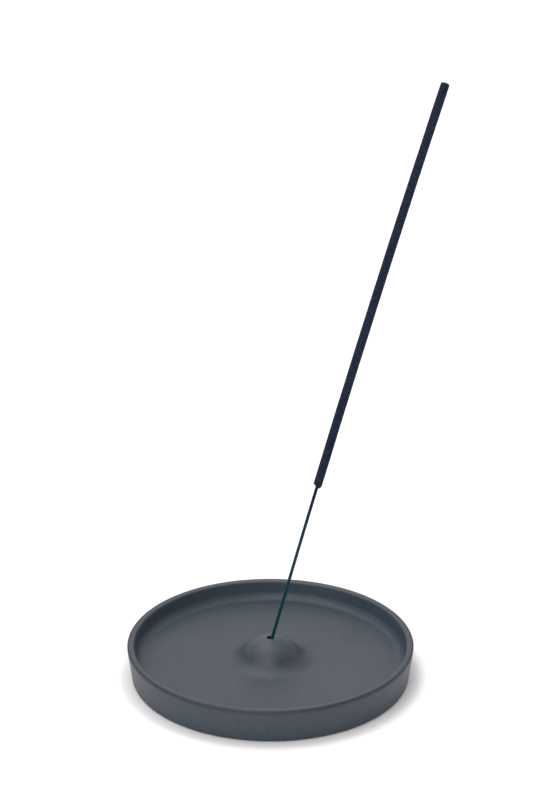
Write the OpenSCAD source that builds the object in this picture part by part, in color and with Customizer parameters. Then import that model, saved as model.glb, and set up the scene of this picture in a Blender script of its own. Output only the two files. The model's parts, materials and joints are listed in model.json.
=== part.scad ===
// Incense burner: a shallow round stoneware dish with a domed boss in its middle,
// and one incense stick that leans in the boss's hole.
// Millimetres. Z is up, the table is z = 0 and the dish's axis is the Z axis.
// The stick leans toward +X.

/* [Dish] */
// outside diameter at the rim
dish_d = 120; // [90:1:160]
// height of the rim above the table
dish_h = 15.2; // [13:0.1:24]
// outside diameter at the table, before its edge is rounded
base_d = 116; // [80:1:150]
// thickness of the wall, measured square to it
wall_t = 3.0; // [2.4:0.1:5]
// depth of the hollow, from the rim down to the floor
bowl_depth = 7.7; // [6.6:0.1:9]
// radius of the rim's outer edge
rim_outer_r = 0.8; // [0.4:0.1:1.3]
// radius of the rim's inner edge
rim_inner_r = 0.9; // [0.4:0.1:1.1]
// radius of the cove between the floor and the wall
cove_r = 3.6; // [1:0.1:5.7]
// radius of the outside edge at the table
base_edge_r = 1.4; // [0.4:0.1:2]

/* [Foot] */
// width of the ring that the dish stands on
foot_w = 6.0; // [4:0.1:12]
// depth of the hollow inside the foot ring
foot_h = 3.4; // [1:0.1:4]
// radius of the cove at the top of that hollow
foot_cove_r = 1.6; // [0.5:0.1:2.5]
// radius of the foot ring's inside edge
foot_edge_r = 0.8; // [0.3:0.1:1]

/* [Boss and hole] */
// height of the boss above the floor
boss_h = 10.25; // [7:0.05:11]
// radius of the boss's domed crown
boss_r = 14.5; // [12:0.1:24]
// radius of the hollow curve where the boss meets the floor
boss_foot_r = 10.0; // [1:0.1:12]
// diameter of the hole for the stick
hole_d = 3.0; // [2:0.1:4]
// radius of the break on the hole's mouth
hole_edge_r = 0.25; // [0.1:0.05:0.4]

/* [Incense stick] */
// lean of the stick from upright where it stands in the hole, in degrees
lean = 14.4; // [11:0.1:20]
// further lean that the stick's slight bow gives it by the tip, in degrees
bow = 2.1; // [0.4:0.1:4]
// whole length of the stick
stick_l = 260.4; // [180:0.2:320]
// length left bare at the foot
bare_l = 78.7; // [40:0.1:120]
// diameter of the bamboo core
core_d = 1.3; // [1:0.1:1.8]
// diameter of the incense coat
coat_d = 3.6; // [2.4:0.1:4.5]
// break on the coat's edge at the tip
tip_edge = 0.4; // [0.1:0.05:0.8]
// break on the coat's edge at its lower end
coat_edge = 0.6; // [0.1:0.05:0.8]
// length of paste beyond the core's upper end
tip_cap = 1.2; // [1.1:0.1:3]

/* [Appearance] */
// facets round a full turn
facets = 96; // [48:8:160]
// colour of the glaze
glaze_colour = "#5a5f67"; // [#5a5f67, #3f4a44, #7a6a58]
// colour of the bamboo
bamboo_colour = "#1f4a55"; // [#1f4a55, #b08d57, #7d2b2b]
// colour of the incense coat
coat_colour = "#262f40"; // [#262f40, #4a3226, #2c2a28]

/* [Hidden] */

rim_r = dish_d / 2;
base_r = base_d / 2;
core_r = core_d / 2;
coat_r = coat_d / 2;
hole_r = hole_d / 2;

// angle of the wall from upright, and how much longer a width is across it on the level
taper = atan((rim_r - base_r) / (dish_h - rim_outer_r));
level = 1 / cos(taper);
// the rim is widest at this height, where its outer edge starts to turn in
wide_z = dish_h - rim_outer_r;

floor_z = dish_h - bowl_depth;
boss_z = floor_z + boss_h;

// the dome is a part of a sphere, whose centre is on the axis at this height
dome_z = boss_z - boss_r;
// centre of the curve at the boss's foot, which touches the dome and the floor
boss_foot_z = floor_z + boss_foot_r;
boss_foot_x = sqrt(pow(boss_r + boss_foot_r, 2) - pow(boss_foot_z - dome_z, 2));
// share of the way from the dome's centre to that centre at which the two curves touch
boss_touch = boss_r / (boss_r + boss_foot_r);

// The stick rests on three points of the hole: its foot's low edge on the bottom, its foot's
// far edge on the wall, and its side on the mouth. Each is left this much clear.
play = 0.05;
// the mouth's break lowers the edge that the side rests on
mouth_z = boss_z - hole_edge_r;
// depth of the hole below that edge at which all three meet
rest_depth = play + ((hole_d - play) * cos(lean) - core_r * pow(cos(lean), 2)
  + core_r * pow(sin(lean), 2) - core_r - play) / sin(lean);
hole_z = mouth_z - rest_depth;
// middle of the stick's foot
foot_x = core_r * cos(lean) + play - hole_r;
foot_z = hole_z + core_r * sin(lean) + play;

// the stick is bowed into part of a large circle
bow_r = stick_l / bow * 180 / PI;
core_l = stick_l - tip_cap;

// radius of the wall's outside and inside at a height
function outer_r(z) = rim_r + rim_outer_r * (level - 1) - (wide_z - z) * tan(taper);
function inner_r(z) = outer_r(z) - wall_t * level;
// where a round edge of this radius, centred at c, meets the slope of the wall
function on_slope(c, rad) = c + rad * [cos(taper), -sin(taper)];
// the angle that the bow turns through over this length of stick
function turn(s) = bow * s / stick_l;

rim_out = [outer_r(dish_h - rim_outer_r) - rim_outer_r * level, dish_h - rim_outer_r];
rim_in = [inner_r(dish_h - rim_inner_r) + rim_inner_r * level, dish_h - rim_inner_r];
base_edge = [outer_r(base_edge_r) - base_edge_r * level, base_edge_r];
cove = [inner_r(floor_z + cove_r) - cove_r * level, floor_z + cove_r];
foot_in_r = base_r - foot_w;
foot_cove = [foot_in_r - foot_cove_r, foot_h - foot_cove_r];
foot_edge = [foot_in_r + foot_edge_r, foot_edge_r];

module disc(at, rad) {
  translate(at) circle(r = rad, $fn = 64);
}

// half of the dish's outside, filled in to the axis
module outside() {
  polygon([
    [0, 0],
    [base_edge[0], 0],
    on_slope(base_edge, base_edge_r),
    on_slope(rim_out, rim_outer_r),
    [rim_out[0], dish_h],
    [0, dish_h]
  ]);
  disc(base_edge, base_edge_r);
  disc(rim_out, rim_outer_r);
}

// half of the hollow above the floor, with its cove
module bowl() {
  polygon([
    [0, floor_z],
    [cove[0], floor_z],
    on_slope(cove, cove_r),
    on_slope(rim_in, -rim_inner_r),
    [rim_in[0], dish_h],
    [rim_in[0], dish_h + 1],
    [0, dish_h + 1]
  ]);
  disc(cove, cove_r);
}

// half of the hollow inside the foot ring
module under() {
  polygon([
    [0, -1],
    [foot_edge[0], -1],
    [foot_edge[0], 0],
    [foot_in_r, foot_edge_r],
    [foot_in_r, foot_cove[1]],
    [foot_cove[0], foot_h],
    [0, foot_h]
  ]);
  disc(foot_cove, foot_cove_r);
}

// half of the boss: the crown, and the hollow curve down to the floor
module boss() {
  intersection() {
    disc([0, dome_z], boss_r);
    translate([0, floor_z - 1]) square([boss_r, boss_h + 2]);
  }
  difference() {
    polygon([
      [0, floor_z - 1],
      [boss_foot_x, floor_z - 1],
      [boss_foot_x, floor_z],
      [boss_touch * boss_foot_x, dome_z + boss_touch * (boss_foot_z - dome_z)],
      [0, floor_z]
    ]);
    disc([boss_foot_x, boss_foot_z], boss_foot_r);
  }
}

// half of the hole, with a small break round its mouth
module hole() {
  translate([0, hole_z]) square([hole_r, boss_z - hole_z + 1]);
  polygon([
    [0, mouth_z],
    [hole_r, mouth_z],
    [hole_r + hole_edge_r + 1, boss_z + 1],
    [0, boss_z + 1]
  ]);
}

module dish() {
  color(glaze_colour) rotate_extrude($fn = facets) {
    difference() {
      union() {
        difference() {
          outside();
          bowl();
        }
        difference() {
          disc(rim_in, rim_inner_r);
          translate([rim_in[0], 0]) square([wall_t, dish_h + 1]);
        }
        boss();
      }
      under();
      hole();
    }
    difference() {
      disc(foot_edge, foot_edge_r);
      translate([foot_edge[0], -1]) square([foot_w, foot_h]);
    }
  }
}

// places its children a length s along the bowed stick, with their Z axis along it
module along(s) {
  translate([foot_x, 0, foot_z]) rotate([0, lean, 0])
    translate([bow_r * (1 - cos(turn(s))), 0, bow_r * sin(turn(s))])
      rotate([0, turn(s), 0]) children();
}

// a round rod that follows the bow from length s to length e of the stick
module bowed_rod(s, e, rad) {
  along(s) translate([bow_r, 0, 0]) rotate([0, 180, 0]) rotate([-90, 0, 0])
    rotate_extrude(angle = turn(e - s), $fn = 7200) translate([bow_r, 0])
      circle(r = rad, $fn = 48);
}

// a ring that breaks the edge of a rod's end by this much, with the end at z = 0
module end_break(rad, edge) {
  rotate_extrude($fn = 48) polygon([
    [rad - edge - 0.3, 0.3],
    [rad + 0.3, -edge - 0.3],
    [rad + 0.3, 0.3]
  ]);
}

module bamboo_core() {
  color(bamboo_colour) bowed_rod(0, core_l, core_r);
}

module incense_coat() {
  color(coat_colour) difference() {
    bowed_rod(bare_l, stick_l, coat_r);
    bowed_rod(bare_l - 1, core_l, core_r);
    along(stick_l) end_break(coat_r, tip_edge);
    along(bare_l) mirror([0, 0, 1]) end_break(coat_r, coat_edge);
  }
}

dish();
bamboo_core();
incense_coat();
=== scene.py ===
"""The looks of an incense burner: a glazed dish, and a stick of incense that leans in it."""

import json
from math import asin, atan, atan2, cos, hypot, pi, radians, sin, sqrt

import bpy
from mathutils import Matrix, Vector, noise


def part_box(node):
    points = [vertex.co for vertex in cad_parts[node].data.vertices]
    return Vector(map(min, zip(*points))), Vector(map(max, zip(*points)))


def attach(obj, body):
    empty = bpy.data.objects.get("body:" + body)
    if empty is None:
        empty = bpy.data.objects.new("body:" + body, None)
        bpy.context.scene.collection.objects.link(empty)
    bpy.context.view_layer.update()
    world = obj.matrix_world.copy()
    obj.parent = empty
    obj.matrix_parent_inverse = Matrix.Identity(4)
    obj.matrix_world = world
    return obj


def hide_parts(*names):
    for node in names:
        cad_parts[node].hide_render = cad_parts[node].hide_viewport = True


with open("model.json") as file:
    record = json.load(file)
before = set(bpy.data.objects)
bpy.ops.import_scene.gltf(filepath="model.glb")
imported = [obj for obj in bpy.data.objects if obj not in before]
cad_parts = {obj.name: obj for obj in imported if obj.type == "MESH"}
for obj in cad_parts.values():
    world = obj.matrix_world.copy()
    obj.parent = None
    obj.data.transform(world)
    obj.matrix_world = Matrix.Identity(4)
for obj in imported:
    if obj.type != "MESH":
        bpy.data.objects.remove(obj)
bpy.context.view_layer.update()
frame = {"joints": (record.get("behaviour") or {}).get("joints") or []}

MM = 0.001
SAME = 1e-6  # points closer than this are one point

# ---------------------------------------------------------------- sizes, millimetres
# heights are above the table, and the dish's middle is on the z axis
RIM_R = (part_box("dish")[1][0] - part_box("dish")[0][0]) / 2 / MM
DISH_H = 15.2
BASE_R = 58.0
WALL = 3.0
FLOOR_Z = 7.5
COVE = 3.6  # hollow curve between the wall and the floor
RIM_OUT = 0.8  # rounds on the rim's two edges
RIM_IN = 0.9
BASE_EDGE = 1.4  # round under the wall
FOOT_IN = 52.0  # radius inside the foot ring
FOOT_H = 3.4  # height of the recess inside it
FOOT_COVE = 1.6
FOOT_EDGE = 0.8
CLAY_R = 57.35  # the underside is bare clay out to here
BOSS_Z = 17.75  # top of the boss, if it had no hole
BOSS_R = 14.5  # domed crown of the boss
BOSS_FOOT = 10.0  # hollow curve between the crown and the floor
HOLE_R = 1.5
HOLE_Z = 11.066  # bottom of the hole
MOUTH = 0.25  # round at the hole's mouth

STICK_L = 260.4
BARE_L = 78.7  # bamboo with no paste on it, from the foot up
CORE_R = 0.65
COAT_R = 1.8
BOW = radians(2.1)  # the stick's bend from foot to tip
GAP = 0.05  # between the stick's foot and the hole's side and bottom
CUT = 0.25  # length of the rounding at the stick's foot
SHOULDER = 1.5  # length over which the paste swells to full size
TIP = 0.55  # length of the worn edge at the tip

lift = next(j for j in frame["joints"] if j["name"] == "stick_lift")
LEAN = atan2(lift["axis"][0], lift["axis"][2])
FOOT = Vector((CORE_R * cos(LEAN) + GAP - HOLE_R, 0, HOLE_Z + CORE_R * sin(LEAN) + GAP))


# ---------------------------------------------------------------- mesh helpers
def clamp(x):
    return max(0.0, min(1.0, x))


def arc(c, r, a0, a1, n):
    """Points of an arc from angle a0 to a1, in degrees."""
    out = []
    for i in range(n + 1):
        a = radians(a0 + (a1 - a0) * i / n)
        out.append((c[0] + r * cos(a), c[1] + r * sin(a)))
    return out


def fine(points, step):
    """The same line, with points added so that no stretch is much longer than step."""
    out = [points[0]]
    for p, q in zip(points, points[1:]):
        length = hypot(q[0] - p[0], q[1] - p[1])
        if length < SAME:
            continue
        n = max(1, int(length / step + 0.999))
        for i in range(1, n + 1):
            out.append((p[0] + (q[0] - p[0]) * i / n, p[1] + (q[1] - p[1]) * i / n))
    return out


def new_object(name, verts, faces, smooth=True):
    mesh = bpy.data.meshes.new(name)
    mesh.from_pydata([tuple(v) for v in verts], [], faces)
    mesh.validate()
    mesh.update()
    if smooth:
        mesh.shade_smooth()
    obj = bpy.data.objects.new(name, mesh)
    bpy.context.scene.collection.objects.link(obj)
    return obj


# ---------------------------------------------------------------- node helpers
class Nodes:
    """A small wrapper for building the nodes of a material or a world."""

    def __init__(self, name, world=None):
        self.mat = world or bpy.data.materials.new(name)
        self.mat.use_nodes = True
        self.tree = self.mat.node_tree
        self.tree.nodes.clear()
        self.out = self.node("OutputWorld" if world else "OutputMaterial")
        self.bsdf = self.node("Background" if world else "BsdfPrincipled")
        self.link(self.bsdf.outputs[0], self.out.inputs["Surface"])

    def link(self, a, b):
        self.tree.links.new(a, b)

    def put(self, value, socket):
        """Link another node's output to the socket, or set its value. A colour needs no alpha."""
        if hasattr(value, "is_output"):
            self.link(value, socket)
        elif socket.type == "RGBA" and isinstance(value, tuple) and len(value) == 3:
            socket.default_value = (*value, 1)
        else:
            socket.default_value = value

    def node(self, kind, ins=None, **props):
        n = self.tree.nodes.new("ShaderNode" + kind)
        for k, v in props.items():
            setattr(n, k, v)
        for k, v in (ins or {}).items():
            self.put(v, n.inputs[k])
        return n

    def coords(self, scale=(1, 1, 1)):
        c = self.node("TexCoord")
        m = self.node("Mapping", {"Vector": c.outputs["Object"], "Scale": scale})
        return m.outputs["Vector"]

    def noise(self, vec, scale, detail=4.0, rough=0.55):
        ins = {"Vector": vec, "Scale": scale, "Detail": detail, "Roughness": rough}
        return self.node("TexNoise", ins).outputs[0]

    def ramp(self, fac, stops, interpolation="EASE"):
        """stops are (place, value) pairs, where a value is a grey or a colour."""
        n = self.node("ValToRGB", {"Fac": fac})
        r = n.color_ramp
        r.interpolation = interpolation
        while len(r.elements) < len(stops):
            r.elements.new(0.5)
        for e, (p, c) in zip(r.elements, stops):
            e.position = p
            e.color = (c, c, c, 1) if isinstance(c, float) else (*c, 1)
        return n.outputs["Color"]

    def math(self, op, a, b=0.0, c=0.0):
        return self.node("Math", {0: a, 1: b, 2: c}, operation=op).outputs[0]

    def mix(self, fac, a, b, blend="MIX"):
        # the factor and the two colours are inputs 0, 6 and 7, and the mixed colour is output 2
        ins = {0: fac, 6: a, 7: b}
        return self.node("Mix", ins, data_type="RGBA", blend_type=blend).outputs[2]

    def bump(self, height, strength, distance, normal=None):
        ins = {"Height": height, "Strength": strength, "Distance": distance}
        if normal is not None:
            ins["Normal"] = normal
        return self.node("Bump", ins).outputs[0]

    def set(self, **ins):
        """Set the shader's inputs, with _ for a space in a name, and give the material."""
        for k, v in ins.items():
            self.put(v, self.bsdf.inputs[k.replace("_", " ")])
        return self.mat


# ---------------------------------------------------------------- materials
def slate_glaze():
    g = Nodes("slate_glaze")
    vec = g.coords()
    sep = g.node("SeparateXYZ", {0: vec})
    radius = g.math(
        "SQRT",
        g.math(
            "ADD",
            g.math("MULTIPLY", sep.outputs[0], sep.outputs[0]),
            g.math("MULTIPLY", sep.outputs[1], sep.outputs[1]),
        ),
    )
    # soft clouding of the glaze, and finer mottling in it
    cloud = g.noise(vec, 42.0, 3.0, 0.5)
    mottle = g.noise(vec, 420.0, 5.0, 0.62)
    base = g.mix(
        g.ramp(cloud, [(0.3, 0.0), (0.7, 1.0)]), (0.0325, 0.0455, 0.0620), (0.0395, 0.0535, 0.0710)
    )
    base = g.mix(g.ramp(mottle, [(0.35, 0.0), (0.68, 0.35)]), base, (0.052, 0.067, 0.086))
    # sparse dark iron specks
    speck = g.node("TexVoronoi", {"Vector": vec, "Scale": 420.0, "Randomness": 1.0})
    dots = g.ramp(speck.outputs["Distance"], [(0.0, 1.0), (0.16, 0.0)])
    chance = g.ramp(
        g.node("SeparateColor", {0: speck.outputs["Color"]}).outputs[0], [(0.86, 0.0), (0.9, 0.6)]
    )
    base = g.mix(g.math("MULTIPLY", dots, chance), base, (0.022, 0.022, 0.024))
    # the zones below go by radius over the rim's, and by height over the dish's (the hole's: the boss's)
    away = g.math("DIVIDE", radius, RIM_R * MM)
    height = g.math("DIVIDE", sep.outputs[2], DISH_H * MM)
    # the inside of the wall is painted bluer, and lighter: painted light that lifts the shade on it
    inner_wall_light = g.ramp(away, [(0.918, 0.0), (0.938, 1.0), (0.957, 1.0), (0.965, 0.0)], "LINEAR")
    inner_wall_light_z = g.ramp(height, [(0.50, 0.0), (0.62, 1.0), (0.93, 1.0), (0.97, 0.0)])
    inner_wall_light = g.math("MULTIPLY", inner_wall_light, inner_wall_light_z)
    base = g.mix(inner_wall_light, base, g.mix(1.0, base, (1.06, 1.17, 1.20), "MULTIPLY"))
    # the outside of the wall is more mottled, and painted darker: painted shade that tones down its
    # reflections
    outer_wall_shade = g.math(
        "MULTIPLY",
        g.ramp(away, [(0.957, 0.0), (0.967, 1.0)], "LINEAR"),
        g.ramp(height, [(0.90, 1.0), (0.935, 0.0)], "LINEAR"),
    )
    fleck = g.ramp(g.noise(vec, 1300.0, 3.0, 0.6), [(0.32, 0.0), (0.68, 1.0)], "LINEAR")
    flecked_shade = g.mix(fleck, (0.0220, 0.0335, 0.0485), (0.0380, 0.0535, 0.0740))
    base = g.mix(outer_wall_shade, base, flecked_shade)
    # painted highlight: a thin pale ring round the hole's mouth
    ring = g.ramp(away, [(0.028, 0.0), (0.031, 0.30), (0.040, 0.22), (0.052, 0.0)], "LINEAR")
    base = g.mix(ring, base, (0.120, 0.130, 0.145))
    # painted shade: the hole is painted near black inside
    rise = g.math("DIVIDE", sep.outputs[2], BOSS_Z * MM)
    hole_shade_depth = g.ramp(rise, [(0.955, 1.0), (0.98, 0.0)], "LINEAR")
    hole_shade_reach = g.ramp(away, [(0.0262, 1.0), (0.0275, 0.0)], "LINEAR")
    base = g.mix(g.math("MULTIPLY", hole_shade_reach, hole_shade_depth), base, (0.003, 0.003, 0.004))
    # the rim's inner edge is painted pale, where the glaze thins, and painted highlight makes it palest
    # at the front and back
    pale_glaze_and_highlight = g.math(
        "MULTIPLY",
        g.ramp(away, [(0.945, 0.0), (0.952, 1.0), (0.966, 1.0), (0.974, 0.0)], "LINEAR"),
        g.ramp(height, [(0.95, 0.0), (0.985, 0.28)], "LINEAR"),
    )
    beside = g.math("ABSOLUTE", g.math("DIVIDE", sep.outputs[0], RIM_R * MM))
    pale_glaze_and_highlight = g.math("MULTIPLY", pale_glaze_and_highlight, g.math("MULTIPLY_ADD", beside, -0.9, 1.0))
    base = g.mix(pale_glaze_and_highlight, base, (0.110, 0.120, 0.135))
    # a dark line is painted along the rim's outer edge, where the glaze breaks thin, and painted shade
    # makes it darkest at the sides
    lip_r = g.ramp(away, [(0.978, 0.0), (0.986, 1.0)], "LINEAR")
    lip_z = g.ramp(height, [(0.862, 0.0), (0.907, 1.0), (0.985, 1.0), (1.0, 0.5)], "LINEAR")
    rim_shade_strength = g.math("MULTIPLY_ADD", beside, 0.30, 0.60)
    thin_glaze_and_shade = g.math("MULTIPLY", g.math("MULTIPLY", lip_r, lip_z), rim_shade_strength)
    base = g.mix(thin_glaze_and_shade, base, (0.007, 0.009, 0.015))
    # the boss is a little glossier than the rest
    rough = g.math("MULTIPLY_ADD", g.noise(vec, 900.0, 3.0, 0.6), 0.14, 0.44)
    rough = g.math("SUBTRACT", rough, g.ramp(away, [(0.20, 0.08), (0.30, 0.0)], "LINEAR"))
    skin = g.bump(g.noise(vec, 260.0, 3.0, 0.5), 0.18, 0.0004)
    skin = g.bump(g.noise(vec, 2600.0, 3.0, 0.6), 0.12, 0.00008, skin)
    return g.set(Base_Color=base, Roughness=rough, Normal=skin, IOR=1.52)


def bare_stoneware():
    g = Nodes("bare_stoneware")
    vec = g.coords()
    grain = g.noise(vec, 1500.0, 6.0, 0.7)
    base = g.mix(g.ramp(grain, [(0.3, 0.0), (0.7, 1.0)]), (0.19, 0.155, 0.125), (0.30, 0.25, 0.20))
    blotch = g.noise(vec, 90.0, 3.0, 0.5)
    base = g.mix(g.ramp(blotch, [(0.4, 0.0), (0.8, 0.5)]), base, (0.16, 0.12, 0.09))
    height = g.mix(0.5, grain, g.noise(vec, 4200.0, 4.0, 0.7))
    return g.set(Base_Color=base, Roughness=0.86, Normal=g.bump(height, 0.5, 0.0003), IOR=1.45)


def dyed_bamboo():
    g = Nodes("dyed_bamboo")
    along = g.coords()
    streak = g.noise(g.coords((1.0, 1.0, 0.03)), 6500.0, 4.0, 0.65)
    fibre = g.noise(g.coords((1.0, 1.0, 0.012)), 14000.0, 3.0, 0.7)
    height = g.math("DIVIDE", g.node("SeparateXYZ", {0: along}).outputs[2], STICK_L * MM)
    drift = g.math("MULTIPLY_ADD", g.noise(along, 60.0, 2.0, 0.5), 0.05, -0.025)
    place = g.math("ADD", height, drift)
    # the dye runs from teal at the foot to navy under the paste
    dye = g.ramp(
        place,
        [
            (0.050, (0.0005, 0.0480, 0.0580)),
            (0.100, (0.0008, 0.0470, 0.0530)),
            (0.125, (0.0060, 0.0430, 0.0600)),
            (0.165, (0.0090, 0.0400, 0.0670)),
            (0.220, (0.0087, 0.0280, 0.0580)),
            (0.266, (0.0065, 0.0165, 0.0415)),
            (0.300, (0.0059, 0.0118, 0.0300)),
        ],
        "LINEAR",
    )
    light = g.mix(1.0, dye, (1.5, 1.5, 1.5), "MULTIPLY")
    dark = g.mix(1.0, dye, (0.35, 0.35, 0.35), "MULTIPLY")
    base = g.mix(g.ramp(streak, [(0.3, 0.0), (0.72, 0.6)]), dye, light)
    base = g.mix(g.ramp(fibre, [(0.25, 0.55), (0.5, 0.0)]), base, dark)
    rough = g.math("MULTIPLY_ADD", streak, 0.2, 0.48)
    bump = g.bump(g.mix(0.5, streak, fibre), 0.5, 0.00006)
    return g.set(Base_Color=base, Roughness=rough, Normal=bump, Specular_IOR_Level=0.08)


def incense_paste():
    g = Nodes("incense_paste")
    vec = g.coords()
    grit = g.noise(vec, 5200.0, 5.0, 0.72)
    lumps = g.noise(vec, 1400.0, 4.0, 0.6)
    drag = g.noise(g.coords((1.0, 1.0, 0.12)), 1500.0, 4.0, 0.6)
    base = g.mix(
        g.ramp(lumps, [(0.38, 0.0), (0.62, 1.0)]), (0.0055, 0.0112, 0.0270), (0.0175, 0.0300, 0.0570)
    )
    base = g.mix(g.ramp(grit, [(0.55, 0.0), (0.78, 0.55)]), base, (0.034, 0.048, 0.075))
    base = g.mix(g.ramp(grit, [(0.22, 0.7), (0.40, 0.0)]), base, (0.004, 0.006, 0.011))
    # wood powder shows as a few paler flecks
    fleck = g.node("TexVoronoi", {"Vector": vec, "Scale": 1900.0, "Randomness": 1.0})
    pick = g.ramp(
        g.node("SeparateColor", {0: fleck.outputs["Color"]}).outputs[1], [(0.90, 0.0), (0.93, 0.45)]
    )
    dot = g.ramp(fleck.outputs["Distance"], [(0.0, 1.0), (0.28, 0.0)])
    base = g.mix(g.math("MULTIPLY", pick, dot), base, (0.075, 0.078, 0.082))
    height = g.mix(0.45, g.mix(0.5, lumps, drag), grit)
    rough = g.math("MULTIPLY_ADD", grit, 0.12, 0.80)
    bump = g.bump(height, 0.7, 0.00025)
    return g.set(Base_Color=base, Roughness=rough, Normal=bump, Specular_IOR_Level=0.12)


# ---------------------------------------------------------------- dish
def dish_profile():
    """The dish's section, from the middle of its underside round to the bottom of its hole."""
    # the wall is widest here, where the rim's round begins
    wide = DISH_H - RIM_OUT
    taper = atan((RIM_R - BASE_R) / wide)
    level = 1 / cos(taper)
    deg = taper * 180 / pi

    def outer(z):
        return RIM_R + RIM_OUT * (level - 1) - (wide - z) * (RIM_R - BASE_R) / wide

    def inner(z):
        return outer(z) - WALL * level

    cove = (inner(FLOOR_Z + COVE) - COVE * level, FLOOR_Z + COVE)
    rim_out = (RIM_R - RIM_OUT, wide)
    rim_in = (inner(DISH_H - RIM_IN) + RIM_IN * level, DISH_H - RIM_IN)
    base = (outer(BASE_EDGE) - BASE_EDGE * level, BASE_EDGE)
    boss_c = BOSS_Z - BOSS_R
    foot_z = FLOOR_Z + BOSS_FOOT
    foot_x = sqrt((BOSS_R + BOSS_FOOT) ** 2 - (foot_z - boss_c) ** 2)
    meet = atan2(foot_z - boss_c, foot_x) * 180 / pi

    under = [(0, FOOT_H)]
    under += arc((FOOT_IN - FOOT_COVE, FOOT_H - FOOT_COVE), FOOT_COVE, 90, 0, 8)
    under += arc((FOOT_IN + FOOT_EDGE, FOOT_EDGE), FOOT_EDGE, 180, 270, 8)
    under += arc(base, BASE_EDGE, -90, -deg, 12)
    wall = arc(rim_out, RIM_OUT, -deg, 90, 14)
    wall += arc(rim_in, RIM_IN, 90, 180 - deg, 12)
    wall += arc(cove, COVE, -deg, -90, 14)
    wall += arc((foot_x, foot_z), BOSS_FOOT, -90, -180 + meet, 14)
    crown = arc((0, boss_c), BOSS_R, meet, 90 - asin((HOLE_R + MOUTH) / BOSS_R) * 180 / pi, 26)
    mouth = arc((HOLE_R + MOUTH, crown[-1][1] - MOUTH), MOUTH, 90, 180, 6)
    bore = fine([mouth[-1], (HOLE_R, HOLE_Z)], 1.0)
    return fine(under + wall + crown, 1.1) + mouth + bore[1:] + [(0, HOLE_Z)]


TURNS = 300
# waves round the wall, a little out of true from the wheel: their number, size and phase
WAVES = ((2, 0.10, 0.7), (3, 0.05, 2.1), (5, 0.03, 4.0))
INSET = 0.06  # the wall is drawn in by this, so the waves pass the CAD's rim by little


def make_dish(glaze, clay):
    section = dish_profile()
    verts, faces, kinds = [], [], []
    rings = []
    for r, z in section:
        if r < SAME:
            rings.append([len(verts)])
            verts.append(Vector((0, 0, z)) * MM)
            continue
        ring = []
        # the waves grow from the base up to the rim, and from 50 mm out to the wall's face
        up = clamp((z - 1.5) / 12)
        out = clamp((r - 50) / 8)
        for k in range(TURNS):
            a = 2 * pi * k / TURNS
            wobble = sum(size * sin(count * a + phase) for count, size, phase in WAVES)
            rr = r + (wobble - INSET) * up * out
            zz = z + 0.06 * sin(2 * a + 2.3) * up * out
            # slow waves in the floor's and the boss's glaze
            if FLOOR_Z - 0.5 < z and r > HOLE_R + 1:
                p = Vector((r * cos(a), r * sin(a), z))
                zz += 0.05 * noise.noise(p * 0.09) * (1 - out)
                rr += 0.03 * noise.noise(p * 0.14 + Vector((7, 0, 0)))
            # the potter's rings, faint on the outside wall
            if 1.5 < z < 13 and r > 56.5:
                rr += 0.02 * sin(z * 3.1 + 0.4 * sin(a))
            ring.append(len(verts))
            verts.append(Vector((rr * cos(a), rr * sin(a), zz)) * MM)
        rings.append(ring)
    for i, (a, b) in enumerate(zip(rings, rings[1:])):
        (r0, z0), (r1, z1) = section[i], section[i + 1]
        bare = max(z0, z1) < FOOT_H + 0.01 and (r0 + r1) / 2 < CLAY_R
        for k in range(TURNS):
            n = (k + 1) % TURNS
            if len(a) == 1:
                faces.append((a[0], b[n], b[k]))
            elif len(b) == 1:
                faces.append((a[k], a[n], b[0]))
            else:
                faces.append((a[k], a[n], b[n], b[k]))
            kinds.append(1 if bare else 0)
    obj = new_object("glazed_dish", verts, faces)
    obj.data.materials.append(glaze)
    obj.data.materials.append(clay)
    obj.data.polygons.foreach_set("material_index", kinds)
    obj.data.update()
    return obj


# ---------------------------------------------------------------- stick
def bowed(s):
    """The middle of the stick and its direction at length s, in the stick's own frame."""
    big = STICK_L / BOW
    a = s / big
    return Vector((big * (1 - cos(a)), 0, big * sin(a))), a


def tube(name, rings, turns, shape):
    """A closed tube round the bowed stick. rings are lengths along it, and shape(s, angle) gives
    the radius and how far along the point is moved."""
    verts, faces = [], []
    for s in rings:
        for k in range(turns):
            t = 2 * pi * k / turns
            r, ds = shape(s, t)
            c, a = bowed(s + ds)
            side = Vector((cos(a), 0, -sin(a)))
            verts.append((c + side * (r * cos(t)) + Vector((0, r * sin(t), 0))) * MM)
    for i in range(len(rings) - 1):
        for k in range(turns):
            n = (k + 1) % turns
            a, b = i * turns, (i + 1) * turns
            faces.append((a + k, a + n, b + n, b + k))
    c0 = len(verts)
    verts.append(bowed(rings[0])[0] * MM)
    verts.append(bowed(rings[-1])[0] * MM)
    last = (len(rings) - 1) * turns
    for k in range(turns):
        n = (k + 1) % turns
        faces.append((k, c0, n))
        faces.append((last + n, c0 + 1, last + k))
    obj = new_object(name, verts, faces)
    obj.matrix_world = Matrix.Translation(FOOT * MM) @ Matrix.Rotation(LEAN, 4, "Y")
    return obj


def make_splint(mat):
    """The bamboo: split and planed, so its section is a soft many-sided shape."""

    def shape(s, t):
        p = Vector((cos(t) * 2, sin(t) * 2, s * 0.03))
        r = CORE_R * (1.0 + 0.035 * cos(4 * t + 0.5 + s * 0.004) + 0.05 * noise.noise(p))
        r *= 1.0 - 0.05 * (s / STICK_L)
        if s < CUT:
            r *= 0.86 + 0.14 * sqrt(max(0.0, s / CUT))
        return min(r, CORE_R * 1.03), 0.0

    # it ends a few millimetres up inside the paste
    rings = [0.0, 0.05, 0.12, CUT] + [CUT + 0.6 * i for i in range(1, 140)]
    obj = tube("bamboo_splint", rings, 28, shape)
    obj.data.materials.append(mat)
    return obj


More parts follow.
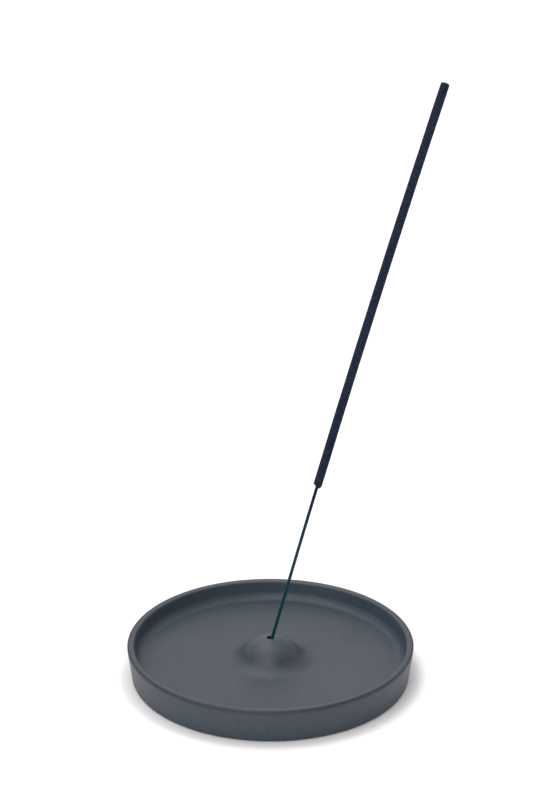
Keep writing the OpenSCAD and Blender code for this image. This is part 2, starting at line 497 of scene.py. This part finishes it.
def make_paste(mat):
    """The dried paste: a rough even roll, ragged where it starts and blunt at the tip."""
    length = STICK_L - BARE_L

    def shape(s, t):
        up = s - BARE_L
        p = Vector((cos(t) * 1.7, sin(t) * 1.7, s))
        r = COAT_R * (1.0 + 0.030 * (1 - up / length) - 0.012)
        r += 0.045 * noise.noise(Vector((cos(t), sin(t), s * 0.05)))
        r += 0.035 * noise.noise(p * 0.55 + Vector((3, 1, 0)))
        r += 0.022 * noise.noise(p * 1.7)
        r += 0.012 * noise.noise(p * 4.3)
        # the tip: blunt, with a worn edge
        left = STICK_L - s
        if left < TIP:
            r *= sqrt(max(0.0, 1 - ((TIP - left) / 0.62) ** 2))
        # the lower end: one shoulder stops high, the other hangs lower
        hang = 0.9 * cos(t) + 0.35 * sin(t + 0.6)
        hang += 0.25 * noise.noise(Vector((cos(t), sin(t), 5)) * 1.4)
        ds = -hang * max(0.0, 1 - (up + 1.2) / 2.6)
        if up < SHOULDER:
            q = max(0.0, up / SHOULDER)
            r = CORE_R * 0.9 + (r - CORE_R * 0.9) * sqrt(1 - (1 - q) ** 2.3)
        return r, ds

    rings = [BARE_L + SHOULDER * (i / 14) ** 1.6 for i in range(15)]
    even = STICK_L - TIP - BARE_L - SHOULDER
    rings += [BARE_L + SHOULDER + even * i / 400 for i in range(1, 401)]
    rings += [STICK_L - TIP + TIP * sin(pi / 2 * i / 8) for i in range(1, 9)]
    obj = tube("incense_paste_roll", rings, 56, shape)
    obj.data.materials.append(mat)
    return obj


dish = make_dish(slate_glaze(), bare_stoneware())
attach(dish, "dish")
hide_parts("dish")

splint = make_splint(dyed_bamboo())
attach(splint, "incense_stick")
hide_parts("bamboo_core")

paste = make_paste(incense_paste())
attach(paste, "incense_stick")
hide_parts("incense_coat")

# ---------------------------------------------------------------- floor
# metres from here on
HALF = 6
corners = [(-HALF, -HALF, 0), (HALF, -HALF, 0), (HALF, HALF, 0), (-HALF, HALF, 0)]
floor = new_object("studio_floor", corners, [(0, 1, 2, 3)], False)
white = Nodes("white_paper")
tone = white.ramp(white.noise(white.coords(), 30.0, 2.0), [(0.0, 0.915), (1.0, 0.925)])
floor.data.materials.append(white.set(Base_Color=tone, Roughness=0.95))
# Painted light: the paper glows faintly round the dish, which shortens the dish's shadow.
# The glow begins at the dish's edge, is full 6 mm past it, and has fallen to half by 22 mm.
PAPER_GLOW = 0.24
GLOW_REACH = 0.1
place = white.node("VectorMath", {0: white.coords()}, operation="LENGTH").outputs["Value"]
place = white.math("DIVIDE", place, GLOW_REACH)
painted_glow_spread = white.ramp(place, [(0.595, 0.0), (0.62, 0.12), (0.66, 1.0), (0.82, 0.5)], "LINEAR")
strength = white.math("MULTIPLY", painted_glow_spread, PAPER_GLOW)
white.set(Specular_IOR_Level=0.1, Emission_Color=(1.0, 1.0, 1.0), Emission_Strength=strength)

# ---------------------------------------------------------------- light
# The room is white, brighter overhead and dimmer to either side and in front. It has two soft
# windows: one overhead and a little to the left, one in front and to the left.
SKY = 1.03
SKY_TOP = 0.60
SKY_RIGHT = 0.76
SKY_LEFT = 0.75
SKY_FRONT = 0.78
SKY_LEAST = 0.1
SKY_TINT = (0.815, 0.797, 0.80, 1)
# each window's direction, the cosines where it begins and is full, and its brightness
WINDOWS = (
    ((-0.22, 0.10, 0.95), 0.84, 0.98, 0.8),
    ((-0.33, -0.72, 0.60), 0.82, 0.975, 2.0),
)
world = bpy.data.worlds.new("studio")
bpy.context.scene.world = world
sky = Nodes("sky", world)
way = sky.node("TexCoord").outputs["Generated"]
wx, wy, wz = sky.node("SeparateXYZ", {0: way}).outputs[:3]
glow = sky.math("ADD", sky.math("MULTIPLY", sky.ramp(wz, [(0.25, 0.0), (0.9, 1.0)]), SKY_TOP), SKY)
# the sides and the front are dimmer higher up
high = sky.math("MULTIPLY_ADD", wz, 0.7, 0.3)
for part, start, end, dim in (
    (wx, 0.05, 0.60, sky.math("MULTIPLY", high, SKY_RIGHT)),
    (sky.math("MULTIPLY", wx, -1.0), 0.25, 0.85, sky.math("MULTIPLY", high, SKY_LEFT)),
    (sky.math("MULTIPLY", wy, -1.0), 0.0, 0.45, sky.math("MULTIPLY", high, SKY_FRONT)),
):
    shade = sky.ramp(part, [(start, 0.0), (end, 1.0)])
    glow = sky.math("SUBTRACT", glow, sky.math("MULTIPLY", shade, dim))
for toward, start, end, power in WINDOWS:
    ins = {0: way, 1: Vector(toward).normalized()}
    near = sky.node("VectorMath", ins, operation="DOT_PRODUCT").outputs["Value"]
    pane = sky.ramp(near, [(start, 0.0), (end, 1.0)])
    glow = sky.math("ADD", glow, sky.math("MULTIPLY", pane, power))
sky.link(sky.math("MAXIMUM", glow, SKY_LEAST), sky.bsdf.inputs["Strength"])
sky.bsdf.inputs["Color"].default_value = SKY_TINT

KEY_PLACE = Vector((-0.3, 0.35, 1.7))
key = bpy.data.lights.new("key_softbox", "AREA")
key.shape = "DISK"
key.size = 1.4
key.energy = 3
lamp = bpy.data.objects.new("key_softbox", key)
lamp.location = KEY_PLACE
lamp.rotation_euler = (-KEY_PLACE).to_track_quat("-Z", "Y").to_euler()
bpy.context.scene.collection.objects.link(lamp)

# ---------------------------------------------------------------- camera
AIM = Vector((-0.00163, 0.0, 0.1273))
DIP = radians(23.96)
REACH = 1.5
cam = bpy.data.objects.new("camera", bpy.data.cameras.new("camera"))
cam.data.sensor_fit = "VERTICAL"
cam.data.sensor_height = 36.0
cam.data.lens = 166.8
cam.data.clip_start = 0.05
cam.data.clip_end = 50.0
cam.location = AIM - REACH * Vector((0, cos(DIP), -sin(DIP)))
cam.rotation_euler = (pi / 2 - DIP, 0, 0)
bpy.context.scene.collection.objects.link(cam)
bpy.context.scene.camera = cam

bpy.context.scene.view_settings.view_transform = "Standard"
bpy.context.scene.view_settings.look = "None"
